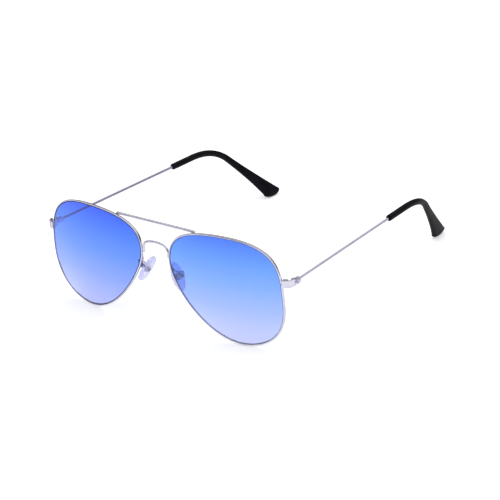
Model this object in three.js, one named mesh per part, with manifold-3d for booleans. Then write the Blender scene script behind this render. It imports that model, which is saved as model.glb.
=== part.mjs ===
// Aviator sunglasses with a double bridge, in millimetres.
// Design frame: +X towards the wearer's left, +Y towards the ears, +Z up. The origin is midway between
// the two lenses, at the height of the lens centres. The last lines stand the finished model on z = 0.
// The left half is modelled at +X. The right half is the same shape in a mirrored group.
import * as THREE from 'three';
import { mergeVertices } from 'three/addons/utils/BufferGeometryUtils.js';
import Module from 'manifold-3d';

const wasm = await Module();
wasm.setup();

// ---- Driving dimensions -------------------------------------------------------------------------

// Lens outline on the lens sphere: u towards the temple, v up, from the lens centre.
const LENS = {
  spacing: 37.2, // from the middle of the frame to each lens centre
  wrap: 6.3, // degrees that each lens turns back at the temple
  radius: 130, // of the lens sphere
  temple: { at: [29.0, -2.8], up: 13.6, down: 20.9 },
  top: { at: [0.2, 24.6], out: 29.1, in: 23.3 },
  nasal: { at: [-28.9, 9.0], up: 8.8, down: 10.3 },
  bottom: { at: [7.3, -24.85], in: 17.9, out: 3.6 },
  thickness: 1.1,
  bevelTip: 0.08,
  bevelBase: -0.45,
  bevelHalf: 0.38,
};
// The rim's section, measured out from the outline and forwards from the lens sphere.
const RIM = {
  inner: -0.35,
  outer: 0.55,
  half: 0.6,
  corner: 0.22,
  groove: 0.22,
  grooveHalf: 0.4,
  split: 0.4,
  clearance: 0.08, // round the rim, for the lock's blocks
};
const OUTLINE_STEPS = 60;

const HINGE = {
  x: 68.4,
  y: 11.0,
  barrel: 1.05,
  bottom: 5.15,
  knuckle: 0.98,
  play: 0.08,
  bore: 0.5,
  pin: 0.43,
  leafIn: 0.45, // the leaf's faces, from the axis
  leafOut: 0.78,
  leafFront: 1.65,
  leafRear: 1.17, // the block of the open temple stops here
};
// The lock that closes the rim: two small blocks with a screw through them.
const LOCK = {
  z: 6.9,
  gap: 0.12,
  low: 5.6,
  high: 8.9,
  screw: 0.36,
  bore: 0.43,
  x: 1.5,
  y: 0.65,
  reach: 0.85,
  front: 0.5, // from the screw to the blocks' front face
};
// The heads of the two screws: radius, height and the room under them.
const LOCK_HEAD = { radius: 0.62, height: 0.3 };
const HINGE_HEAD = { radius: 0.85, height: 0.35 };
const HEAD_GAP = 0.04;
const SLOT_HALF = 0.12;
// The lug's plan, from the rim to its rear end and back along its inside.
const LUG_PLAN = [
  [66.0, 5.9], [67.2, 6.1], [68.5, 6.75], [69.35, 7.7], [69.7, 8.7], [69.8, 9.75],
  [69.24, 9.75], [69.22, 9.3], [68.9, 8.4], [68.1, 7.75], [66.9, 7.3], [65.6, 7.1],
];

const TEMPLE = {
  wire: 0.58, // radius
  z: 6.8,
  converge: 4.2, // degrees
  blockStart: 1.2, // behind the hinge axis
  blockEnd: 4.3,
  blockHalf: 0.9,
  wireStart: 2.7, // all along the wire's line, from the hinge axis
  sleeve: 75.2,
  bendStart: 88.5,
  bendApex: 102.4,
  bendEnd: 113.0,
  paddleEnd: 143.4,
  wireEnd: 138,
  dip: 0.3, // degrees below level, of the straight part
  drop: 46.15, // degrees below level, of the part that hooks behind the ear
  lean: 24.3, // degrees towards the head, in plan
  bore: 0.06, // room round the wire
};
// The tip: a slim sleeve that widens past the bend into a flat paddle with a slanted, rounded end.
const TIP = {
  sleeve: 1.47, // half its height over the straight wire
  growth: 2.64,
  power: 2.0,
  from: 104.2, // where it starts to grow
  over: 40,
  slant: 42, // degrees
  slantFrom: 121,
  slantTo: 143,
  thin: 1.2, // half the paddle's thickness
  thinFrom: 95,
  thinTo: 120,
  bulge: 2.3, // of the end
  fullness: 2.2, // of the end: 2 is an ellipse, and more is squarer
};

const BAR = { radius: 0.62, reach: 22.6, y: 2.25, z: 24.07 };
const BRIDGE = { radius: 0.55, y: 0.64 };
const PAD = {
  pivot: new THREE.Vector3(11.0, 3.6, 0.75),
  normal: new THREE.Vector3(-0.86, 0, -0.51),
  up: new THREE.Vector3(-0.497, 0.219, 0.838),
  halfLength: 6.75,
  halfWidth: 3.6,
  back: 1.15, // of the box, behind the pivot
  start: 1.2, // of the pad, in front of the pivot
  thick: 2.5,
  arm: 0.45,
  plateHalf: [1.1, 1.55], // of the metal plate in the pad
  plateFrom: 0.85,
  plateTo: 1.35,
  pocketRoom: 0.15,
  screw: 0.3,
  bore: 0.36,
};

const METAL = { color: 0xd8d6e0, roughness: 0.18, metalness: 1 };
const STEEL = { color: 0xc9c9d2, roughness: 0.25, metalness: 1 };
const TINT = { color: 0x6f9dfb, roughness: 0.04, metalness: 0 };
const CLEAR = { color: 0xdadcf6, roughness: 0.2, metalness: 0 };
const BLACK = { color: 0x1c1c22, roughness: 0.4, metalness: 0 };

// ---- Small tools --------------------------------------------------------------------------------

const rad = THREE.MathUtils.degToRad;
const vec = (x, y, z) => new THREE.Vector3(x, y, z);

// Turns the faces of a closed geometry outwards, whichever way they were wound.
function outward(geometry) {
  const p = geometry.attributes.position;
  const index = geometry.index.array;
  const [a, b, c] = [vec(0, 0, 0), vec(0, 0, 0), vec(0, 0, 0)];
  let volume = 0;
  for (let i = 0; i < index.length; i += 3) {
    a.fromBufferAttribute(p, index[i]);
    b.fromBufferAttribute(p, index[i + 1]);
    c.fromBufferAttribute(p, index[i + 2]);
    volume += a.dot(b.cross(c));
  }
  if (volume < 0) {
    for (let i = 0; i < index.length; i += 3) [index[i], index[i + 1]] = [index[i + 1], index[i]];
  }
  return geometry;
}

// Joins rings of equal size into one closed skin with a cap on each end ring.
function loft(rings, section = circle(1, rings[0].length)) {
  const size = rings[0].length;
  const index = [];
  for (let i = 0; i < rings.length - 1; i += 1) {
    const here = i * size;
    const next = here + size;
    for (let j = 0; j < size; j += 1) {
      const k = (j + 1) % size;
      index.push(here + j, here + k, next + j, here + k, next + k, next + j);
    }
  }
  const last = (rings.length - 1) * size;
  for (const [a, b, c] of THREE.ShapeUtils.triangulateShape(section, [])) {
    index.push(a, c, b, last + a, last + b, last + c);
  }
  const geometry = new THREE.BufferGeometry();
  geometry.setFromPoints(rings.flat());
  geometry.setIndex(index);
  return outward(geometry);
}

// A regular outline of a circle, as flat points.
function circle(radius, sides) {
  const turn = (2 * Math.PI) / sides;
  return Array.from({ length: sides }, (_, i) => new THREE.Vector2(
    radius * Math.cos((i + 0.5) * turn),
    radius * Math.sin((i + 0.5) * turn),
  ));
}

// A tube along a curve. size(t) gives the half-width across and the half-height at each place.
function tube(curve, fractions, sides, size) {
  const rings = fractions.map((t) => {
    const centre = curve.getPointAt(t);
    const along = curve.getTangentAt(t);
    const across = vec(0, 0, 1).cross(along);
    if (across.length() < 0.3) across.set(0, 1, 0);
    across.addScaledVector(along, -across.dot(along)).normalize();
    const over = along.clone().cross(across);
    const [width, height] = size(t);
    return circle(1, sides).map((q) => centre.clone()
      .addScaledVector(across, q.x * width)
      .addScaledVector(over, q.y * height));
  });
  return loft(rings);
}

const even = (count, from = 0, to = 1) => Array.from(
  { length: count + 1 },
  (_, i) => from + ((to - from) * i) / count,
);

function toSolid(geometry) {
  const bare = geometry.clone();
  bare.deleteAttribute('normal');
  bare.deleteAttribute('uv');
  const merged = mergeVertices(bare, 1e-5);
  return new wasm.Manifold(new wasm.Mesh({
    numProp: 3,
    vertProperties: new Float32Array(merged.attributes.position.array),
    triVerts: new Uint32Array(merged.index.array),
  }));
}

function fromSolid(solid) {
  const mesh = solid.getMesh();
  const geometry = new THREE.BufferGeometry();
  geometry.setAttribute('position', new THREE.BufferAttribute(new Float32Array(mesh.vertProperties), 3));
  geometry.setIndex(new THREE.BufferAttribute(new Uint32Array(mesh.triVerts), 1));
  return geometry;
}

const join = (...list) => fromSolid(list.map(toSolid).reduce((a, b) => a.add(b)));
const cut = (body, ...tools) => fromSolid(
  tools.map(toSolid).reduce((a, b) => a.subtract(b), toSolid(body)),
);

function box(x0, x1, y0, y1, z0, z1) {
  return new THREE.BoxGeometry(x1 - x0, y1 - y0, z1 - z0)
    .translate((x0 + x1) / 2, (y0 + y1) / 2, (z0 + z1) / 2);
}

// An upright cylinder from z0 to z1 at (x, y).
function post(x, y, radius, z0, z1, sides = 16) {
  return new THREE.CylinderGeometry(radius, radius, z1 - z0, sides)
    .rotateX(Math.PI / 2)
    .translate(x, y, (z0 + z1) / 2);
}

// A plan outline, raised from z0 to z1.
function plate(points, z0, z1) {
  const shape = new THREE.Shape(points.map(([x, y]) => new THREE.Vector2(x, y)));
  return new THREE.ExtrudeGeometry(shape, { depth: z1 - z0, bevelEnabled: false }).translate(0, 0, z0);
}

// A screw along +Z with a slotted head on top.
function screw(x, y, radius, z0, z1, head, headHeight) {
  const body = join(
    post(x, y, radius, z0, z1 + 0.01, 12),
    post(x, y, head, z1, z1 + headHeight, 16),
  );
  const slot = box(x - head, x + head, y - SLOT_HALF, y + SLOT_HALF, z1 + headHeight / 2, z1 + 1);
  return cut(body, slot);
}

function part(name, geometry, look) {
  const mesh = new THREE.Mesh(geometry, new THREE.MeshStandardMaterial(look));
  mesh.name = name;
  return mesh;
}

// ---- Lens outline -------------------------------------------------------------------------------

const at = ([u, v]) => new THREE.Vector2(u, v);
const { temple, top, nasal, bottom } = LENS;
const outline = new THREE.CurvePath();
const beside = ([u, v], du, dv) => [u + du, v + dv];
const corners = [
  [temple.at, beside(temple.at, 0, temple.up), beside(top.at, top.out, 0), top.at],
  [top.at, beside(top.at, -top.in, 0), beside(nasal.at, 0, nasal.up), nasal.at],
  [nasal.at, beside(nasal.at, 0, -nasal.down), beside(bottom.at, -bottom.in, 0), bottom.at],
  [bottom.at, beside(bottom.at, bottom.out, 0), beside(temple.at, 0, -temple.down), temple.at],
];
for (const points of corners) outline.add(new THREE.CubicBezierCurve(...points.map(at)));

// The place on the outline, as a fraction of its length, where the rim is split at the lock.
let lockAt = 0;
while (outline.getPointAt(lockAt).y < LOCK.z) lockAt += 0.0005;

const sag = (u, v) => LENS.radius - Math.sqrt(LENS.radius ** 2 - u * u - v * v);

// A frame on the outline in the lens's own axes: a points out of the lens, b points forwards.
function edgeFrame(fraction) {
  const t = ((fraction % 1) + 1) % 1;
  const p = outline.getPointAt(t);
  const along2 = outline.getTangentAt(t);
  const centre = vec(p.x, sag(p.x, p.y), p.y);
  const forward = vec(p.x, centre.y - LENS.radius, p.y).normalize();
  const along = vec(along2.x, 0, along2.y);
  along.addScaledVector(forward, -along.dot(forward)).normalize();
  const out = along.clone().cross(forward).normalize();
  if (out.x * p.x + out.z * p.y < 0) out.negate();
  return { centre, out, forward };
}

const splitFraction = RIM.split / outline.getLength() / 2;
const edgeFrames = even(OUTLINE_STEPS, lockAt + splitFraction, lockAt + 1 - splitFraction).map(edgeFrame);
const ringAt = ({ centre, out, forward }, section) => section.map((q) => centre.clone()
  .addScaledVector(out, q.x)
  .addScaledVector(forward, q.y));

// The rim's section: a flat outer wire with rounded corners and a groove for the lens's bevel.
function rimSection(grow = 0) {
  const { inner, outer, half, corner, groove, grooveHalf } = RIM;
  const o = outer + grow;
  const h = half + grow;
  return [
    [inner - grow, -grooveHalf], [inner - grow, -h], [o - corner, -h], [o, corner - h],
    [o, h - corner], [o - corner, h], [inner - grow, h], [inner - grow, grooveHalf], [groove, 0],
  ].map(at);
}

function rimGeometry(grow = 0) {
  const section = rimSection(grow);
  return loft(edgeFrames.map((frame) => ringAt(frame, section)), section);
}

// The lens: two domed faces and a bevelled edge, as rings that run from face to face.
function lensGeometry() {
  const half = LENS.thickness / 2;
  const base = LENS.bevelBase;
  const edge = [
    [base, half], [base, LENS.bevelHalf], [LENS.bevelTip, 0], [base, -LENS.bevelHalf], [base, -half],
  ];
  const scales = [0.5, 0.02];
  const face = (side, scale) => edgeFrames.map((frame) => {
    const p = frame.centre.clone().addScaledVector(frame.out, base);
    const [u, v] = [p.x * scale, p.z * scale];
    const on = vec(u, sag(u, v), v);
    const forward = vec(u, on.y - LENS.radius, v).normalize();
    return on.addScaledVector(forward, side * half);
  });
  const rings = [
    ...[...scales].reverse().map((scale) => face(1, scale)),
    ...edge.map((q) => edgeFrames.map((frame) => ringAt(frame, [at(q)])[0])),
    ...scales.map((scale) => face(-1, scale)),
  ];
  const section = edgeFrames.map((frame) => new THREE.Vector2(frame.centre.x, frame.centre.z));
  return loft(rings, section);
}

const eyeMatrix = new THREE.Matrix4()
  .makeRotationZ(rad(LENS.wrap))
  .setPosition(LENS.spacing, 0, 0);

// ---- Bridges ------------------------------------------------------------------------------------

// The straight upper bar, with round ends that lie on top of the rims.
function browBar() {
  const { radius, reach, y, z } = BAR;
  const length = 2 * (reach - radius);
  return new THREE.CapsuleGeometry(radius, length, 3, 12)
    .rotateZ(Math.PI / 2)
    .translate(0, y, z);
}

// The arched lower bridge: two legs down the rims and a low arch between them.
function noseBridge() {
  const { y, radius } = BRIDGE;
  const side = [
    [7.04, y, 9.0], [7.04, y, 11.2], [6.5, y + 0.1, 13.0], [5.1, y + 0.3, 14.2], [2.6, y + 0.45, 14.75],
  ];
  const right = side.map(([x, ...rest]) => vec(-x, ...rest));
  const left = [...side].reverse().map((place) => vec(...place));
  const curve = new THREE.CatmullRomCurve3([...right, vec(0, y + 0.5, 14.9), ...left]);
  const rings = even(28).map((t) => {
    const along = curve.getTangentAt(t);
    const back = vec(0, 1, 0).addScaledVector(along, -along.y).normalize();
    const across = along.clone().cross(back);
    return circle(radius, 8).map((q) => curve.getPointAt(t)
      .addScaledVector(back, q.x)
      .addScaledVector(across, q.y));
  });
  return loft(rings);
}

// ---- End piece, rim lock and hinge --------------------------------------------------------------

const lockFrame = edgeFrame(lockAt);
const lockPoint = lockFrame.centre.clone().applyMatrix4(eyeMatrix);
const lockOut = lockFrame.out.clone().transformDirection(eyeMatrix);
const lockTurn = Math.atan2(lockOut.y, lockOut.x);

// Places a geometry that is drawn in the lock's own axes: x out of the rim, y back, z up.
function atLock(geometry) {
  return geometry.rotateZ(lockTurn).translate(lockPoint.x, lockPoint.y, 0);
}

const fatRim = rimGeometry(RIM.clearance).applyMatrix4(eyeMatrix);
const lockX = RIM.outer + LOCK.x;
const lockBlock = (z0, z1) => atLock(
  box(RIM.outer - 0.3, lockX + LOCK.reach, LOCK.y - LOCK.front, LOCK.y + LOCK.reach, z0, z1),
);
const lockBore = atLock(post(lockX, LOCK.y, LOCK.bore, LOCK.low - 1, LOCK.high + 1, 12));

// The lug that turns back from the rim to the hinge, with the upper half of the lock on its inside.
function endpiece() {
  const strip = plate(LUG_PLAN, LOCK.low, LOCK.high);
  const split = LOCK.z + LOCK.gap / 2;
  const room = atLock(box(RIM.outer - 1, lockX + 1, LOCK.y - LOCK.front - 0.1, 3, LOCK.low - 1, split));
  return cut(join(cut(strip, room), lockBlock(split, LOCK.high)), fatRim, lockBore);
}

function rimLock() {
  return cut(lockBlock(LOCK.low, LOCK.z - LOCK.gap / 2), fatRim, lockBore);
}

// The rim's screw goes in from below, so its head is under the lock.
function rimScrew() {
  const { radius, height } = LOCK_HEAD;
  const upright = screw(lockX, -LOCK.y, LOCK.screw, LOCK.low, LOCK.high + HEAD_GAP, radius, height);
  return atLock(upright.rotateX(Math.PI).translate(0, 0, LOCK.low + LOCK.high));
}

const hingeLevels = [0, 1, 2].map((i) => HINGE.bottom + i * (HINGE.knuckle + HINGE.play));
const hingeTop = hingeLevels[2] + HINGE.knuckle;
const hingeBore = post(HINGE.x, HINGE.y, HINGE.bore, 0, 12);

// The front half of the hinge: two knuckles on a leaf that lies inside the end piece.
function frontHinge() {
  const { x, y, barrel, play, bottom: low, knuckle, leafIn, leafOut } = HINGE;
  const leaf = box(x + leafIn, x + leafOut, y - HINGE.leafFront, y + HINGE.leafRear, low, hingeTop);
  const knuckles = [hingeLevels[0], hingeLevels[2]].map((z) => join(
    post(x, y, barrel, z, z + knuckle),
    box(x, x + 0.7, y - 0.8, y + 0.8, z, z + knuckle),
  ));
  const swing = post(x, y, barrel + play, hingeLevels[1] - play, hingeLevels[1] + knuckle + play);
  return cut(join(leaf, ...knuckles), hingeBore, swing);
}

// The temple half: one knuckle on a block that stops against the leaf when the temple is open.
function templeHinge() {
  const { x, y, barrel, knuckle } = HINGE;
  const z = hingeLevels[1];
  const { blockStart, blockEnd, blockHalf } = TEMPLE;
  const eye = post(x, y, barrel, z, z + knuckle);
  const neck = box(x - barrel + 0.1, x + 0.4, y, y + blockStart + 0.3, z, z + knuckle);
  const block = plate([
    [x - 1.15, y + blockStart], [x + 1.75, y + blockStart], [x + 1.75, y + 2.1], [x + 1.2, y + 3.2],
    [x + 0.7, y + blockEnd], [x - 1.3, y + blockEnd], [x - 1.3, y + 2.2],
  ], TEMPLE.z - blockHalf, TEMPLE.z + blockHalf);
  const socket = wireGeometry(TEMPLE.wire + TEMPLE.bore, TEMPLE.wireStart - 0.1, TEMPLE.wireEnd);
  return cut(join(eye, neck, block), hingeBore, socket);
}

function hingeScrew() {
  const { radius, height } = HINGE_HEAD;
  return screw(HINGE.x, HINGE.y, HINGE.pin, HINGE.bottom - 0.15, hingeTop + HEAD_GAP, radius, height);
}

// ---- Temple -------------------------------------------------------------------------------------

const startPoint = vec(HINGE.x, HINGE.y, TEMPLE.z);
const straight = vec(
  -Math.sin(rad(TEMPLE.converge)),
  Math.cos(rad(TEMPLE.converge)),
  -Math.sin(rad(TEMPLE.dip)),
).normalize();
const down = vec(
  -Math.sin(rad(TEMPLE.lean)) * Math.cos(rad(TEMPLE.drop)),
  Math.cos(rad(TEMPLE.lean)) * Math.cos(rad(TEMPLE.drop)),
  -Math.sin(rad(TEMPLE.drop)),
);
const apex = startPoint.clone().addScaledVector(straight, TEMPLE.bendApex);

// The temple's line from one distance behind the hinge to another, through the bend.
function templeLine(from, to) {
  const line = new THREE.CurvePath();
  const bendStart = startPoint.clone().addScaledVector(straight, TEMPLE.bendStart);
  const bendEnd = apex.clone().addScaledVector(down, TEMPLE.bendEnd - TEMPLE.bendApex);
  line.add(new THREE.LineCurve3(startPoint.clone().addScaledVector(straight, from), bendStart));
  line.add(new THREE.QuadraticBezierCurve3(bendStart, apex, bendEnd));
  line.add(new THREE.LineCurve3(bendEnd, apex.clone().addScaledVector(down, to - TEMPLE.bendApex)));
  return line;
}

// Places along a temple line: its ends, close steps through the bend, and extra ones where given.
function templeSteps(line, from, extra = []) {
  const length = line.getLength();
  const bend = line.curves[1].getLength();
  const first = TEMPLE.bendStart - from;
  const steps = [0, ...even(6, first, first + bend), ...extra.map((back) => length - back), length];
  return [...new Set(steps.sort((a, b) => a - b))].map((s) => Math.min(1, Math.max(0, s / length)));
}

function wireGeometry(radius, from, to) {
  const line = templeLine(from, to);
  return tube(line, templeSteps(line, from), 8, () => [radius, radius]);
}

// Half the tip's height at a distance along the temple, square to the temple's line.
function tipHeight(distance) {
  const t = Math.max(0, (distance - TIP.from) / TIP.over);
  return TIP.sleeve + TIP.growth * t ** TIP.power;
}

// One ring of the tip. It tilts back by the slant, and scale draws its outline in.
function tipRing(line, distance, past = 0, scale = 1) {
  const t = Math.min(1, (distance - TEMPLE.sleeve) / (TEMPLE.paddleEnd - TEMPLE.sleeve));
  const along = line.getTangentAt(t);
  const across = straight.clone().cross(down).normalize();
  const over = along.clone().cross(across);
  const tilt = rad(TIP.slant) * THREE.MathUtils.smoothstep(distance, TIP.slantFrom, TIP.slantTo);
  const length = over.clone().multiplyScalar(Math.cos(tilt)).addScaledVector(along, Math.sin(tilt));
  const out = along.clone().multiplyScalar(Math.cos(tilt)).addScaledVector(over, -Math.sin(tilt));
  const high = (tipHeight(distance) / Math.cos(tilt)) * scale;
  const flat = THREE.MathUtils.smoothstep(distance, TIP.thinFrom, TIP.thinTo);
  const wide = THREE.MathUtils.lerp(TIP.sleeve, TIP.thin, flat) * (0.4 + 0.6 * scale);
  const centre = line.getPointAt(t).addScaledVector(out, past);
  return circle(1, 14).map((q) => centre.clone()
    .addScaledVector(across, q.x * wide)
    .addScaledVector(length, q.y * high));
}

function tipGeometry() {
  const { bulge, fullness } = TIP;
  const line = templeLine(TEMPLE.sleeve, TEMPLE.paddleEnd);
  const { bendStart, bendEnd, paddleEnd, sleeve, wire, bore, wireEnd } = TEMPLE;
  const distances = [
    sleeve + 0.35, ...even(6, bendStart, bendEnd), ...even(7, bendEnd + 4, paddleEnd),
  ];
  const rings = distances.map((distance) => tipRing(line, distance));
  rings.unshift(tipRing(line, sleeve, 0, 0.76));
  const end = [0.4, 0.68, 0.87, 0.97, 1].map((share) => {
    return tipRing(line, paddleEnd, share * bulge, Math.max(0.15, (1 - share ** fullness) ** (1 / fullness)));
  });
  const hole = wireGeometry(wire + bore, sleeve - 3, wireEnd + 0.3);
  return cut(loft([...rings, ...end]), hole);
}

// ---- Nose pads ----------------------------------------------------------------------------------

// The pad's own axes: x out of its bearing face, y forwards across it, z up its length. The origin is
// the middle of the pad screw.
const padMatrix = new THREE.Matrix4().makeBasis(
  PAD.normal.clone().normalize(),
  PAD.up.clone().cross(PAD.normal).normalize(),
  PAD.up.clone().addScaledVector(PAD.normal, -PAD.up.dot(PAD.normal) / PAD.normal.lengthSq()).normalize(),
).setPosition(PAD.pivot);

// A cylinder along the pad screw's axis.
function crossPost(radius, y0, y1, sides) {
  return new THREE.CylinderGeometry(radius, radius, y1 - y0, sides).translate(0, (y0 + y1) / 2, 0);
}

function nosePad() {
  const layers = [[0, 0.8], [0.25, 0.92], [0.8, 1], [1.7, 1], [2.3, 0.92], [PAD.thick, 0.78]];
  const rings = layers.map(([x, scale]) => circle(1, 20).map((q) => vec(
    PAD.start + x,
    q.x * PAD.halfWidth * (scale - (1 - scale) * 0.6),
    q.y * PAD.halfLength * scale,
  )));
  const [y, z] = PAD.plateHalf.map((half) => half + PAD.pocketRoom);
  const pocket = box(PAD.start - 1, PAD.start + PAD.plateTo + PAD.pocketRoom, -y, y, -z, z);
  return cut(loft(rings), pocket);
}

function padInsert() {
  const [y, z] = PAD.plateHalf;
  const core = box(PAD.start + PAD.plateFrom, PAD.start + PAD.plateTo, -y, y, -z, z);
  const neck = box(0, PAD.start + PAD.plateFrom + 0.05, -0.5, 0.5, -0.42, 0.42);
  const eye = crossPost(0.62, -0.5, 0.5, 12);
  return cut(join(core, neck, eye), crossPost(PAD.bore, -2, 2, 10));
}

function padBox() {
  const shell = box(-PAD.back, 0.72, -1.25, 1.25, -1.45, 1.45);
  const hollow = box(-0.72, 2, -0.62, 0.62, -1.05, 1.05);
  return cut(shell, hollow, crossPost(PAD.bore, -2, 2, 10));
}

function padScrew() {
  const shank = crossPost(PAD.screw, -1.35, 1.3, 10);
  const head = crossPost(0.52, 1.29, 1.6, 12);
  return cut(join(shank, head), box(-0.6, 0.6, 1.45, 2, -0.08, 0.08));
}

function padArm() {
  const normal = PAD.normal.clone().normalize();
  const end = PAD.pivot.clone().addScaledVector(normal, -PAD.back);
  const curve = new THREE.CatmullRomCurve3([
    vec(8.7, 1.18, 6.2), vec(8.85, 1.15, 4.7), vec(9.7, 1.5, 3.4), vec(11.3, 2.4, 3.1),
    vec(12.8, 3.2, 2.9), end.clone().addScaledVector(normal, -0.8), end,
  ]);
  const rings = even(18).map((t) => {
    const along = curve.getTangentAt(t);
    const side = vec(1, -1, 0.2).normalize().cross(along).normalize();
    const over = along.clone().cross(side);
    return circle(PAD.arm, 8).map((q) => curve.getPointAt(t)
      .addScaledVector(side, q.x)
      .addScaledVector(over, q.y));
  });
  return loft(rings);
}

// ---- Assembly -----------------------------------------------------------------------------------

const glasses = new THREE.Group();
glasses.add(part('brow_bar', browBar(), METAL), part('nose_bridge', noseBridge(), METAL));

// One half of the sunglasses: the lens in its rim, the lug and hinge, the temple and the nose pad.
function half(side) {
  const group = new THREE.Group();
  const eye = new THREE.Group();
  eye.applyMatrix4(eyeMatrix);
  eye.add(part(`rim_${side}`, rimGeometry(), METAL), part(`lens_${side}`, lensGeometry(), TINT));
  const pad = new THREE.Group();
  pad.applyMatrix4(padMatrix);
  pad.add(
    part(`pad_box_${side}`, padBox(), STEEL),
    part(`pad_screw_${side}`, padScrew(), STEEL),
    part(`pad_insert_${side}`, padInsert(), STEEL),
    part(`nose_pad_${side}`, nosePad(), CLEAR),
  );
  group.add(
    eye,
    part(`endpiece_${side}`, endpiece(), METAL),
    part(`rim_lock_${side}`, rimLock(), METAL),
    part(`rim_screw_${side}`, rimScrew(), STEEL),
    part(`front_hinge_${side}`, frontHinge(), METAL),
    part(`hinge_screw_${side}`, hingeScrew(), STEEL),
    part(`temple_hinge_${side}`, templeHinge(), METAL),
    part(`temple_wire_${side}`, wireGeometry(TEMPLE.wire, TEMPLE.wireStart, TEMPLE.wireEnd), METAL),
    part(`temple_tip_${side}`, tipGeometry(), BLACK),
    part(`pad_arm_${side}`, padArm(), METAL),
    pad,
  );
  return group;
}

const leftHalf = half('left');
const rightHalf = half('right');
rightHalf.scale.x = -1;
glasses.add(leftHalf, rightHalf);

// Stands the sunglasses on z = 0, on the rims and the tips, with the origin in the middle.
glasses.updateMatrixWorld(true);
const extent = new THREE.Box3().setFromObject(glasses, true);
glasses.position.set(0, -(extent.min.y + extent.max.y) / 2, -extent.min.z);

export default glasses;
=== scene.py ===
"""Aviator sunglasses with a double bridge: the pieces, their finishes, the light and the camera.

Every length in the sub-assemblies is in millimetres, in the maker's axes: +X to the wearer's left,
+Y back to the ears, +Z up, from the middle of the frame at the height of the lens centres.
"""

import logging
import math
from collections.abc import Callable, Iterable, Sequence
from dataclasses import dataclass, field
from enum import Enum

import bmesh
import bpy
from mathutils import Matrix, Vector


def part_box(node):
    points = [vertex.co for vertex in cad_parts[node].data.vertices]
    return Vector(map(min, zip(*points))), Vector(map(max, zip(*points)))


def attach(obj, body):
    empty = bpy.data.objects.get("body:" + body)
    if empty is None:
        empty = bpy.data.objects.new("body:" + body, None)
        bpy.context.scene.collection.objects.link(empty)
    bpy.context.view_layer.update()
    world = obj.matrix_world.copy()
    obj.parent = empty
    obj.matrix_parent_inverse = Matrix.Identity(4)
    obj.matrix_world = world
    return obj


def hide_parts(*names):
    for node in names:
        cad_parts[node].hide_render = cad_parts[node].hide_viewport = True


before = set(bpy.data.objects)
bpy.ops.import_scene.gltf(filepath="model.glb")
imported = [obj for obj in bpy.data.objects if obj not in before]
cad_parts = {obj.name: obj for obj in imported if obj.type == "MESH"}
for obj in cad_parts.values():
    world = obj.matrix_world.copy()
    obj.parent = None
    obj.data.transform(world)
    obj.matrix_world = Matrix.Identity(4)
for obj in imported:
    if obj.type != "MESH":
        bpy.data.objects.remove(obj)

LOG = logging.getLogger("sunglasses")
MM = 0.001
FRONT = "front"
Ring = list[Vector]
Outline = list[tuple[float, float]]
Colour = tuple[float, float, float]
Place = tuple[float, float, float]


class Side(Enum):
    """The wearer's two sides. The value is the sign of X."""

    LEFT = 1.0
    RIGHT = -1.0

    @property
    def tag(self) -> str:
        """The ending that this side's names have."""
        return self.name.lower()


class Slot(Enum):
    """The finishes that the record names."""

    METAL = "frame_metal"
    STEEL = "screw_steel"
    TINT = "lens_tint"
    SILICONE = "pad_silicone"
    PLASTIC = "tip_plastic"


# ---- Curves and rings ---------------------------------------------------------------------------


def smoothstep(value: float, low: float, high: float) -> float:
    """Goes smoothly from 0 at low to 1 at high.

    Args:
        value: Where to read the step.
        low: Where it leaves 0.
        high: Where it reaches 1.

    Returns:
        The step's height, from 0 to 1.
    """
    t = min(1.0, max(0.0, (value - low) / (high - low)))
    return t * t * (3.0 - 2.0 * t)


def circle(sides: int, power: float = 2.0) -> Outline:
    """A closed unit outline, from a circle towards a rounded square.

    Args:
        sides: How many points it has.
        power: 2 gives a circle, and more gives flatter sides.

    Returns:
        The points, counter-clockwise.
    """
    points = []
    for i in range(sides):
        angle = 2.0 * math.pi * (i + 0.5) / sides
        x, y = math.cos(angle), math.sin(angle)
        size = (abs(x) ** power + abs(y) ** power) ** (-1.0 / power)
        points.append((x * size, y * size))
    return points


@dataclass
class Polyline:
    """A smooth line as closely spaced points, read by distance along it."""

    points: list[Vector]
    lengths: list[float] = field(init=False)

    def __post_init__(self) -> None:
        """Adds up the distances between the points."""
        self.lengths = [0.0]
        for a, b in zip(self.points, self.points[1:]):
            self.lengths.append(self.lengths[-1] + (b - a).length)

    @property
    def length(self) -> float:
        """The whole length."""
        return self.lengths[-1]

    def at(self, fraction: float) -> Vector:
        """The point at a fraction of the length.

        Args:
            fraction: From 0 at the start to 1 at the end.

        Returns:
            The point.
        """
        want = min(max(fraction, 0.0), 1.0) * self.length
        low, high = 0, len(self.lengths) - 1
        while high - low > 1:
            middle = (low + high) // 2
            if self.lengths[middle] <= want:
                low = middle
            else:
                high = middle
        step = self.lengths[high] - self.lengths[low]
        share = (want - self.lengths[low]) / step if step > 0.0 else 0.0
        return self.points[low].lerp(self.points[high], share)

    def along(self, fraction: float) -> Vector:
        """The direction of the line at a fraction of its length.

        Args:
            fraction: From 0 at the start to 1 at the end.

        Returns:
            A unit vector.
        """
        reach = 0.002
        before, after = max(0.0, fraction - reach), min(1.0, fraction + reach)
        return (self.at(after) - self.at(before)).normalized()


def bezier(corners: Sequence[Vector], steps: int) -> list[Vector]:
    """Points on a Bezier curve of any degree, without its last point.

    Args:
        corners: The control points.
        steps: How many points to give.

    Returns:
        The points.
    """
    points = []
    for i in range(steps):
        level = [c.copy() for c in corners]
        while len(level) > 1:
            level = [a.lerp(b, i / steps) for a, b in zip(level, level[1:])]
        points.append(level[0])
    return points


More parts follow.
